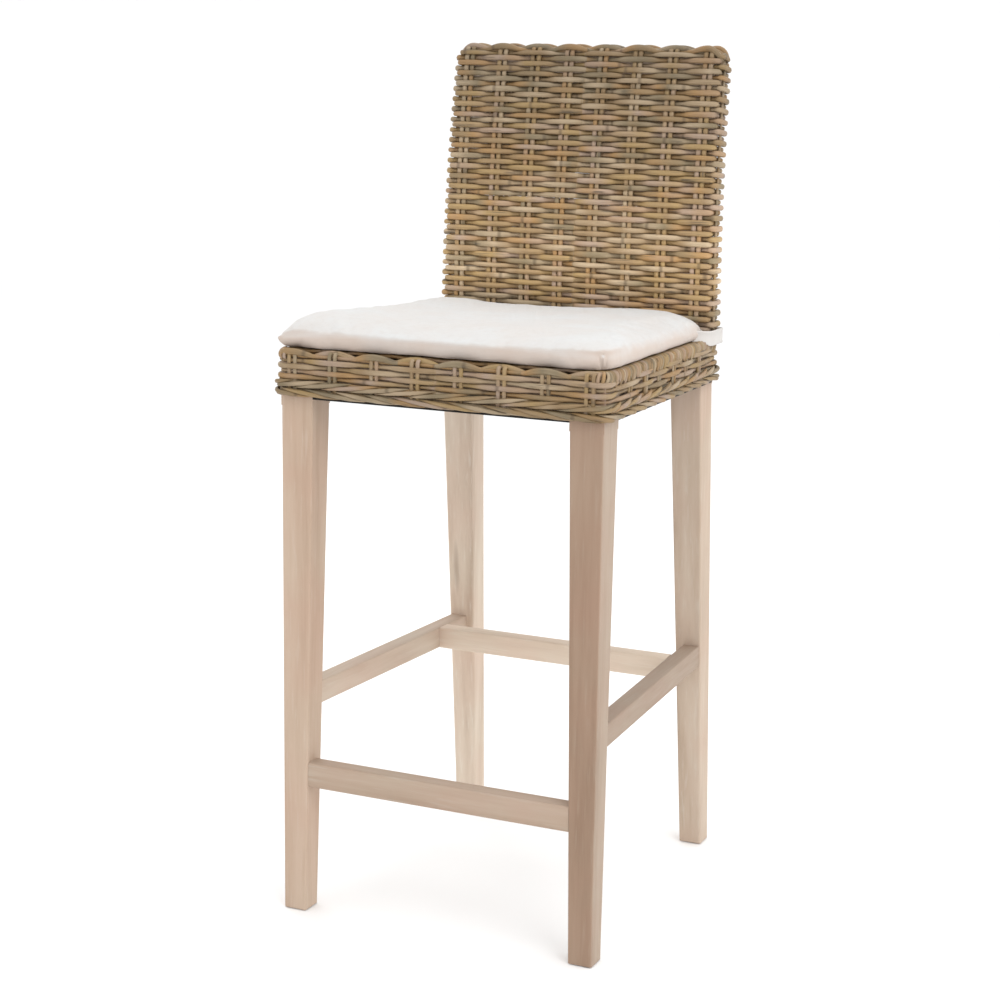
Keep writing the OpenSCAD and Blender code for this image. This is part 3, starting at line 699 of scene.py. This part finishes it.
def inflate(piece, seam):
    """Blows the cover up as cloth, with its seam held, and returns its points part of the way there."""
    held = piece.vertex_groups.new(name="seam")
    held.add(seam.tolist(), 1.0, "REPLACE")
    start = np.array([v.co for v in piece.data.vertices])
    cloth = piece.modifiers.new("cloth", "CLOTH")
    cloth.settings.use_pressure = True
    cloth.settings.uniform_pressure_force = PRESSURE
    cloth.settings.effector_weights.gravity = 0
    cloth.settings.vertex_group_mass = "seam"
    cloth.settings.shrink_min = -0.02
    cloth.settings.bending_stiffness = 0.4
    scene = bpy.context.scene
    for frame_number in range(1, SIM_FRAMES + 1):
        scene.frame_set(frame_number)
    shaped = piece.evaluated_get(bpy.context.evaluated_depsgraph_get()).to_mesh()
    moved = np.array([v.co for v in shaped.vertices]) - start
    piece.modifiers.clear()
    piece.vertex_groups.clear()
    far = np.linalg.norm(moved, axis=1)[:, None]
    moved *= PUFF_SHARE * np.minimum(1, PUFF_CAP / np.maximum(far, 1e-9))
    scene.frame_set(1)
    return start + moved


def cushion(material):
    """A thin pad: two sheets sewn together round the edge, crowned on top and flat on the seat."""
    pad = Pad()
    mesh, seam = pad_mesh(pad, PAD_COLUMNS, PAD_ROWS)
    piece = new_piece("cushion", mesh, material)
    points = np.array([v.co for v in mesh.vertices])
    points = inflate(piece, seam)
    points[:, 1] = np.minimum(points[:, 1], pad.rear)
    points[:, 2] = np.maximum(points[:, 2], pad.rest(points[:, 1]))
    points[seam] += seam_pinch(points, seam)
    mesh.vertices.foreach_set("co", points.ravel())
    smooth = piece.modifiers.new("smooth", "SUBSURF")
    smooth.levels = smooth.render_levels = 1
    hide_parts("cushion_cover", "cushion_core")
    return finish_cloth(piece)


def seam_pinch(points, seam):
    """The seam drawn in towards the middle of the pad."""
    inward = points.mean(axis=0) - points[seam]
    inward[:, 2] = 0
    return SEAM_PINCH * inward / np.linalg.norm(inward, axis=1)[:, None]


def finish_cloth(piece):
    """The body of every cloth piece."""
    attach(piece, "root")
    return piece


def ribbon(name, path, out, low, high, thick, material):
    """A strip of cloth on edge along path in plan, with thicker hems along its two long edges."""
    columns = np.array([0, 0.06, 0.12, 0.16, 0.5, 0.84, 0.88, 0.94, 1.0])
    hem = np.array([0.55, 1.0, 1.0, 0.6, 0.6, 0.6, 1.0, 1.0, 0.55])
    z = low[:, None] + (high - low)[:, None] * columns
    base = np.concatenate([np.repeat(path[:, None], len(columns), 1), z[..., None]], -1)
    lift = np.concatenate([out, np.zeros((len(out), 1))], -1)[:, None] * (hem * thick)[None, :, None]
    ring = np.concatenate([base + lift, base[:, ::-1]], 1)
    n, m = ring.shape[:2]
    i, j = np.meshgrid(np.arange(n - 1), np.arange(m), indexing="ij")
    k = (j + 1) % m
    faces = np.stack([i * m + j, i * m + k, (i + 1) * m + k, (i + 1) * m + j], -1)
    faces = faces.reshape(-1, 4).tolist()
    faces += [list(range(m))[::-1], list(range((n - 1) * m, n * m))]
    mesh = bpy.data.meshes.new(name)
    mesh.from_pydata(ring.reshape(-1, 3).tolist(), [], faces)
    return new_piece(name, mesh, material)


def strap_route(side):
    """Plan points and outward directions of a strap, from the cushion round the side of the back."""
    low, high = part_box("strap_right")
    rear = high.y - STRAP_THICK
    wide = high.x - STRAP_THICK + 1 * MM
    r = 5 * MM
    turn = np.radians(np.linspace(0, 90, 7))
    corners = np.vstack([
        [[wide - 18 * MM, low.y - 18 * MM], [wide - 4 * MM, low.y + 10 * MM], [wide, BACK.y0 + 4 * MM]],
        np.column_stack([wide - r + r * np.cos(turn), rear - r + r * np.sin(turn)]),
        [[low.x, rear]],
    ])
    ends = np.concatenate([[0], np.cumsum(np.linalg.norm(np.diff(corners, axis=0), axis=1))])
    s = np.linspace(0, ends[-1], 90)
    path = np.stack([np.interp(s, ends, corners[:, i]) for i in (0, 1)], 1)
    along = np.gradient(path, axis=0)
    along /= np.linalg.norm(along, axis=1)[:, None]
    out = np.stack([along[:, 1], -along[:, 0]], 1)
    return path * [side, 1], out * [side, 1], s


def straps(material):
    """A strap from each rear corner of the cushion round the back, and the tab that joins them."""
    low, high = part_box("strap_right")
    for name, side in (("right", 1), ("left", -1)):
        path, out, s = strap_route(side)
        narrow = 1 - np.clip(s / SPREAD_LENGTH, 0, 1)
        bottom = low.z + 9 * MM * narrow + 0.3 * MM * np.sin(s / (9 * MM))
        top = high.z + 2 * MM * narrow + 0.3 * MM * np.sin(s / (9 * MM) + 0.4)
        piece = ribbon(f"tie_{name}", path, out, bottom, top, STRAP_THICK, material)
        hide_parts(f"strap_{name}")
        finish_cloth(piece)
    low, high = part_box("strap_tab")
    x = np.linspace(low.x, high.x, 30)
    path = np.column_stack([x, np.full(len(x), low.y)])
    out = np.tile([0.0, 1.0], (len(x), 1))
    level = np.ones(len(x))
    piece = ribbon("tie_tab", path, out, low.z * level, high.z * level, high.y - low.y, material)
    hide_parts("strap_tab")
    finish_cloth(piece)


# ---- Materials ----

def new_material(name):
    material = bpy.data.materials.new(name)
    material.use_nodes = True
    tree = material.node_tree
    return material, tree, tree.nodes["Principled BSDF"]


class Graph:
    """Short ways to add shader nodes to one tree."""

    def __init__(self, tree):
        self.tree = tree

    def node(self, kind, **settings):
        n = self.tree.nodes.new("ShaderNode" + kind)
        for key, value in settings.items():
            setattr(n, key, value)
        return n

    def link(self, value, socket):
        if isinstance(value, bpy.types.NodeSocket):
            self.tree.links.new(value, socket)
        elif value is not None:
            socket.default_value = value

    def math(self, operation, a, b=None, c=None):
        n = self.node("Math", operation=operation)
        for value, socket in zip((a, b, c), n.inputs):
            self.link(value, socket)
        return n.outputs[0]

    def vector(self, x, y, z):
        n = self.node("CombineXYZ")
        for value, socket in zip((x, y, z), n.inputs):
            self.link(value, socket)
        return n.outputs[0]

    def noise(self, vector, scale, detail=3.0, roughness=0.55):
        n = self.node("TexNoise")
        self.link(vector, n.inputs["Vector"])
        n.inputs["Scale"].default_value = scale
        n.inputs["Detail"].default_value = detail
        n.inputs["Roughness"].default_value = roughness
        return n.outputs["Fac"]

    def parts(self, vector):
        n = self.node("SeparateXYZ")
        self.link(vector, n.inputs[0])
        return n.outputs

    def ramp(self, value, stops):
        n = self.node("ValToRGB")
        self.link(value, n.inputs["Fac"])
        ramp = n.color_ramp
        while len(ramp.elements) < len(stops):
            ramp.elements.new(0.5)
        for element, (at, colour) in zip(ramp.elements, stops):
            element.position = at
            element.color = colour if len(colour) == 4 else (*colour, 1)
        return n.outputs["Color"]

    def mix(self, factor, a, b, blend="MIX"):
        n = self.node("Mix", data_type="RGBA", blend_type=blend)
        self.link(factor, n.inputs[0])
        self.link(a, n.inputs[6])
        self.link(b, n.inputs[7])
        return n.outputs[2]

    def spread(self, value, low, high, to_low=0.0, to_high=1.0):
        n = self.node("MapRange")
        for v, socket in zip((value, low, high, to_low, to_high), n.inputs):
            self.link(v, socket)
        return n.outputs[0]

    def bump(self, height, strength, distance, shader):
        n = self.node("Bump")
        n.inputs["Strength"].default_value = strength
        n.inputs["Distance"].default_value = distance
        self.link(height, n.inputs["Height"])
        self.link(n.outputs[0], shader.inputs["Normal"])


def linear(r, g, b):
    """Display colour in 0 to 255 as linear light."""
    return tuple(((c / 255 + 0.055) / 1.055) ** 2.4 if c > 10 else c / 255 / 12.92 for c in (r, g, b))


# Display colours that the strands run through, and painted light and shade by height from the seat to
# the top: the seat and the top of the back are painted darker and the lower back lighter, as the light
# falls on them.
RATTAN_TONES = [
    (204, 172, 118), (188, 158, 118), (222, 198, 164), (166, 148, 116), (206, 164, 110), (208, 182, 160),
]
RATTAN_PAINTED_LIGHT_HEIGHTS = (0.70, 1.15)
RATTAN_PAINTED_LIGHT = [(0.0, 0.58), (0.16, 0.61), (0.3, 0.98), (0.62, 0.7), (1.0, 0.48)]


def rattan_material():
    """Weathered grey-brown rattan. Each strand has its own tone, which drifts slowly along it, and the
    colour is painted lighter or darker by height to stand in for light and shade.
    """
    material, tree, shader = new_material("rattan")
    g = Graph(tree)
    tag = g.node("Attribute", attribute_name="strand")
    strand, along, around = g.parts(tag.outputs["Vector"])
    seed = g.math("MULTIPLY", strand, 97.0)
    slow = g.noise(g.vector(seed, g.math("MULTIPLY", along, 6.0), 0.0), 1.0, 2.0)
    drift = g.spread(slow, 0.3, 0.7, 0.0, 0.7)
    stops = [(i / len(RATTAN_TONES), linear(*tone)) for i, tone in enumerate(RATTAN_TONES)]
    stops += [(1.0, linear(*RATTAN_TONES[0]))]
    base = g.ramp(g.math("FRACT", g.math("ADD", g.math("MULTIPLY", strand, 5.0), drift)), stops)
    # Painted light and shade: the colour is made lighter or darker by height, for how light falls on the
    # seat and the back.
    level = g.spread(g.parts(g.node("TexCoord").outputs["Object"])[2], *RATTAN_PAINTED_LIGHT_HEIGHTS)
    shade = g.ramp(level, [(at, (grey,) * 3) for at, grey in RATTAN_PAINTED_LIGHT])
    base = g.mix(1.0, base, shade, "MULTIPLY")
    fibre_place = g.vector(g.math("MULTIPLY", along, 14.0), g.math("MULTIPLY", around, 9.0), seed)
    fibre = g.noise(fibre_place, 3.0, 4.0, 0.65)
    dark = g.mix(1.0, base, (0.55, 0.50, 0.44, 1), "MULTIPLY")
    colour = g.mix(g.spread(fibre, 0.38, 0.62, 0.0, 0.6), base, dark)
    joint = g.math("ADD", g.math("MULTIPLY", along, 4.3), g.math("MULTIPLY", strand, 13.0))
    joint = g.math("ABSOLUTE", g.math("SUBTRACT", g.math("FRACT", joint), 0.5))
    knot = g.spread(joint, 0.004, 0.016, 1.0, 0.0)
    colour = g.mix(g.math("MULTIPLY", knot, 0.5), colour, (*linear(74, 58, 42), 1))
    stain_place = g.vector(seed, g.math("MULTIPLY", along, 16.0), g.math("MULTIPLY", around, 2.0))
    stain = g.spread(g.noise(stain_place, 1.0, 3.0), 0.61, 0.71)
    colour = g.mix(g.math("MULTIPLY", stain, 0.7), colour, (*linear(52, 46, 40), 1))
    g.link(colour, shader.inputs["Base Color"])
    g.link(g.spread(fibre, 0.3, 0.7, 0.45, 0.68), shader.inputs["Roughness"])
    shader.inputs["Specular IOR Level"].default_value = 0.45
    g.bump(g.math("SUBTRACT", fibre, g.math("MULTIPLY", knot, 0.8)), 0.5, 0.0005, shader)
    return material


def tint(tone, warm):
    """How light a board is, and how far towards brown."""
    return (tone, tone * (1 - 0.6 * warm), tone * (1 - warm), 1)


def wood_material(name, axis, tone=1.0, warm=0.02, painted_side_light=None):
    """Limed hardwood with its grain along X, Y or Z; an optional tone for the sides paints light on the
    two faces that look along X, paler than the front.
    """
    material, tree, shader = new_material(name)
    g = Graph(tree)
    where = g.node("TexCoord").outputs["Object"]
    own = g.math("MULTIPLY", g.node("ObjectInfo").outputs["Random"], 40.0)
    scaled = [
        g.math("ADD", g.math("MULTIPLY", part, 1.6 if i == axis else 26.0), own)
        for i, part in enumerate(g.parts(where))
    ]
    grain_place = g.vector(*scaled)
    grain = g.noise(grain_place, 1.0, 6.0, 0.62)
    pores = g.noise(grain_place, 9.0, 3.0, 0.6)
    cloud = g.noise(where, 9.0, 2.0)
    colour = g.ramp(grain, [
        (0.25, linear(181, 154, 131)), (0.45, linear(207, 183, 161)),
        (0.6, linear(218, 196, 175)), (0.8, linear(196, 170, 147)),
    ])
    colour = g.mix(g.spread(pores, 0.55, 0.75, 0.0, 0.35), colour, (*linear(232, 222, 208), 1))
    colour = g.mix(g.spread(cloud, 0.4, 0.7, 0.0, 0.35), colour, (*linear(212, 174, 153), 1))
    spots = g.node("TexVoronoi")
    g.link(grain_place, spots.inputs["Vector"])
    spots.inputs["Scale"].default_value = 0.55
    knot = g.spread(spots.outputs["Distance"], 0.03, 0.10, 0.75, 0.0)
    colour = g.mix(knot, colour, (*linear(120, 92, 74), 1))
    board = tint(tone, warm)
    # Painted light: faces turned along X are made paler than the rest of the board, for the light
    # falling on them from the side.
    if painted_side_light:
        turned = g.math("ABSOLUTE", g.parts(g.node("TexCoord").outputs["Normal"])[0])
        board = g.mix(g.spread(turned, 0.5, 0.8), board, tint(painted_side_light, 0.0))
    colour = g.mix(1.0, colour, board, "MULTIPLY")
    g.link(colour, shader.inputs["Base Color"])
    g.link(g.spread(pores, 0.3, 0.7, 0.55, 0.78), shader.inputs["Roughness"])
    shader.inputs["Specular IOR Level"].default_value = 0.35
    g.bump(g.math("ADD", grain, g.math("MULTIPLY", pores, 0.6)), 0.35, 0.0006, shader)
    return material


def cloth_material(name, colour, shade, threads, painted_side_bounce=0.0):
    """Woven cloth of so many threads in a metre. Its upright sides are painted part of the way towards
    the shade colour, as painted shade and warm light bounced from the rattan.
    """
    material, tree, shader = new_material(name)
    g = Graph(tree)
    where = g.node("TexCoord").outputs["Object"]
    waves = [g.math("SINE", g.math("MULTIPLY", part, TAU * threads / 2)) for part in g.parts(where)]
    weave = g.math("MULTIPLY", g.math("ADD", waves[0], waves[2]), g.math("ADD", waves[1], waves[2]))
    slub = g.noise(where, threads / 12, 4.0, 0.7)
    cloud = g.noise(where, 14.0, 3.0)
    # Painted light and shade: faces that stand upright are tinted towards the shade colour, for warm
    # light bounced from the rattan and shade on the sides.
    side = g.spread(g.parts(g.node("TexCoord").outputs["Normal"])[2], 0.1, 0.85, painted_side_bounce, 0.0)
    warm = g.math("ADD", side, g.spread(cloud, 0.35, 0.65, 0.0, 0.25))
    tone = g.mix(warm, (*colour, 1), (*shade, 1))
    tone = g.mix(g.spread(slub, 0.5, 0.75, 0.0, 0.22), tone, (*[c * 0.86 for c in shade], 1))
    g.link(tone, shader.inputs["Base Color"])
    g.link(g.spread(slub, 0.3, 0.7, 0.82, 0.95), shader.inputs["Roughness"])
    shader.inputs["Specular IOR Level"].default_value = 0.2
    shader.inputs["Sheen Weight"].default_value = 0.15
    g.bump(g.math("ADD", weave, g.math("MULTIPLY", slub, 2.0)), 0.4, 0.0003, shader)
    return material


def plain_material(name, colour, metallic, low, high, scale):
    """Moulded plastic or plated steel: fine mottling in colour and roughness."""
    material, tree, shader = new_material(name)
    g = Graph(tree)
    where = g.node("TexCoord").outputs["Object"]
    speck = g.noise(where, scale, 4.0)
    tone = g.mix(g.spread(speck, 0.35, 0.65), (*colour, 1), (*[c * 0.8 for c in colour], 1))
    g.link(tone, shader.inputs["Base Color"])
    g.link(g.spread(speck, 0.3, 0.7, low, high), shader.inputs["Roughness"])
    shader.inputs["Metallic"].default_value = metallic
    g.bump(speck, 0.3, 0.0002, shader)
    return material


# ---- Camera, floor and light ----

# The camera as it was fitted: place in metres, yaw, pitch and roll in degrees, and lens in millimetres.
CAMERA_PLACE = (1.17863, -2.62491, 1.13397)
CAMERA_TURNS = (24.6684, 11.6459, 0.8518)
CAMERA_LENS, SENSOR_WIDTH = 77.36, 36

# Area lights: place, target, size in metres and power in watts.
MIDDLE = (0, 0, 0.7)
LIGHTS = {
    "key": ((2.4, -1.8, 3.2), MIDDLE, 1.8, 34),
    "fill": ((-2.6, 1.8, 1.8), MIDDLE, 2.2, 18),
    "top": ((0.2, 0.2, 3.4), MIDDLE, 2.5, 26),
    "side": ((3.2, 0.3, 0.9), (0, 0, 0.45), 1.2, 10),
}
WORLD_STRENGTH = 1.05


def camera():
    """A camera at eye level in front of the stool and to its right."""
    yaw, pitch, roll = (math.radians(a) for a in CAMERA_TURNS)
    level = math.cos(pitch)
    forward = Vector((-math.sin(yaw) * level, math.cos(yaw) * level, -math.sin(pitch)))
    right = Vector((math.cos(yaw), math.sin(yaw), 0))
    up = right.cross(forward)
    x = math.cos(roll) * right + math.sin(roll) * up
    y = -math.sin(roll) * right + math.cos(roll) * up
    data = bpy.data.cameras.new("camera")
    data.lens, data.sensor_width = CAMERA_LENS, SENSOR_WIDTH
    piece = bpy.data.objects.new("camera", data)
    bpy.context.scene.collection.objects.link(piece)
    turn = Matrix((x, y, -forward)).transposed().to_4x4()
    piece.matrix_world = Matrix.Translation(CAMERA_PLACE) @ turn
    bpy.context.scene.camera = piece


def floor():
    """A pale studio floor that curves up into a wall far behind."""
    half, bend, wall, steps = 6.0, 1.5, 5.0, 12
    profile = [(-half, 0.0)]
    profile += [
        (half + bend * math.sin(a), bend - bend * math.cos(a))
        for a in np.linspace(0, math.pi / 2, steps)
    ]
    profile += [(half + bend, wall)]
    verts = [(x, y, z) for y, z in profile for x in (-2 * half, 2 * half)]
    faces = [(2 * i, 2 * i + 1, 2 * i + 3, 2 * i + 2) for i in range(len(profile) - 1)]
    mesh = bpy.data.meshes.new("studio_floor")
    mesh.from_pydata(verts, [], faces)
    material, tree, shader = new_material("studio_floor")
    g = Graph(tree)
    mottle = g.noise(g.node("TexCoord").outputs["Object"], 2.0)
    g.link(g.spread(mottle, 0.3, 0.7, 0.75, 0.85), shader.inputs["Roughness"])
    shader.inputs["Base Color"].default_value = (0.96, 0.96, 0.96, 1)
    new_piece("studio_floor", mesh, material)


def light(name, place, target, size, power):
    data = bpy.data.lights.new(name, "AREA")
    data.shape, data.size, data.energy = "SQUARE", size, power
    piece = bpy.data.objects.new(name, data)
    bpy.context.scene.collection.objects.link(piece)
    piece.location = place
    piece.rotation_euler = (Vector(target) - Vector(place)).to_track_quat("-Z", "Y").to_euler()


def lights():
    """An even white surround and soft lights from the front right, the rear left, above and the side."""
    world = bpy.data.worlds.new("studio")
    bpy.context.scene.world = world
    world.use_nodes = True
    background = world.node_tree.nodes["Background"]
    background.inputs["Color"].default_value = (1, 1, 1, 1)
    background.inputs["Strength"].default_value = WORLD_STRENGTH
    for name, settings in LIGHTS.items():
        light(name, *settings)


def view_settings():
    settings = bpy.context.scene.view_settings
    settings.view_transform = "Standard"
    settings.look = "None"
    settings.exposure = 0.0


# ---- Carried-over CAD nodes ----

def dress(names, material):
    for name in names:
        mesh = NODES[name].data
        mesh.materials.clear()
        mesh.materials.append(material)


# Boards by grain axis, tone, warmth and, for one of them, the tone of painted light on its two sides,
# paler than its front where light falls from the right.
FRONT_RIGHT_PAINTED_SIDE_LIGHT = 0.58
WOODS = {
    (2, 0.75, 0.04): ["front_leg_left"],
    (2, 0.51, 0.17, FRONT_RIGHT_PAINTED_SIDE_LIGHT): ["front_leg_right"],
    (2, 0.77, -0.05): ["rear_post_right"],
    (2, 1.0, -0.14): ["rear_post_left"],
    (0, 0.66, 0.0): ["footrest_rail"],
    (0, 1.0, -0.10): ["rear_stretcher"],
    (1, 0.82, -0.08): ["side_stretcher_left"],
    (1, 0.51, 0.04): ["side_stretcher_right"],
    (1, 0.7, 0.02): ["seat_rail_left", "seat_rail_right"],
    (0, 0.7, 0.02): [
        "seat_rail_front", "seat_rail_rear", "back_top_rail", "back_middle_rail", "back_lower_rail",
        "seat_slat_front", "seat_slat_middle", "seat_slat_rear",
        "corner_block_front_left", "corner_block_front_right",
        "corner_block_rear_left", "corner_block_rear_right",
    ],
}


def dress_frame(cotton):
    """Materials for the CAD nodes that stay in the picture, and for the soft ones that are replaced."""
    for (grain_axis, *look), names in WOODS.items():
        dress(names, wood_material("wood_" + names[0], grain_axis, *look))
    dowels = wood_material("wood_dowels", 0)
    dress([n for n in NODES if n.endswith("_dowels")], dowels)
    glides = [n for n in NODES if n.startswith("glide")]
    dress(glides, plain_material("nylon", linear(112, 106, 96), 0, 0.4, 0.6, 900))
    dress(["corner_screws"], plain_material("zinc", linear(176, 178, 180), 1, 0.25, 0.45, 700))
    dress(["dust_cover"], cloth_material("dust_cloth", linear(38, 37, 36), linear(28, 27, 26), 500))
    dress(["cushion_cover", "cushion_core", "strap_left", "strap_right", "strap_tab"], cotton)


view_settings()
camera()
floor()
lights()
# The cushion's cotton has painted bounce light and shade on its upright sides; the straps' cotton has
# none.
cotton = cloth_material("cotton", linear(204, 204, 203), linear(200, 185, 174), 1400, 0.75)
strap_cotton = cloth_material("strap_cotton", linear(206, 202, 198), linear(203, 196, 190), 1400)
dress_frame(cotton)
rattan = rattan_material()
back_weave(rattan)
back_uprights(rattan)
back_border(rattan)
seat_weave(rattan)
seat_uprights(rattan)
seat_rim(rattan)
seat_deck(rattan)
seat_braid(rattan)
cushion(cotton)
straps(strap_cotton)
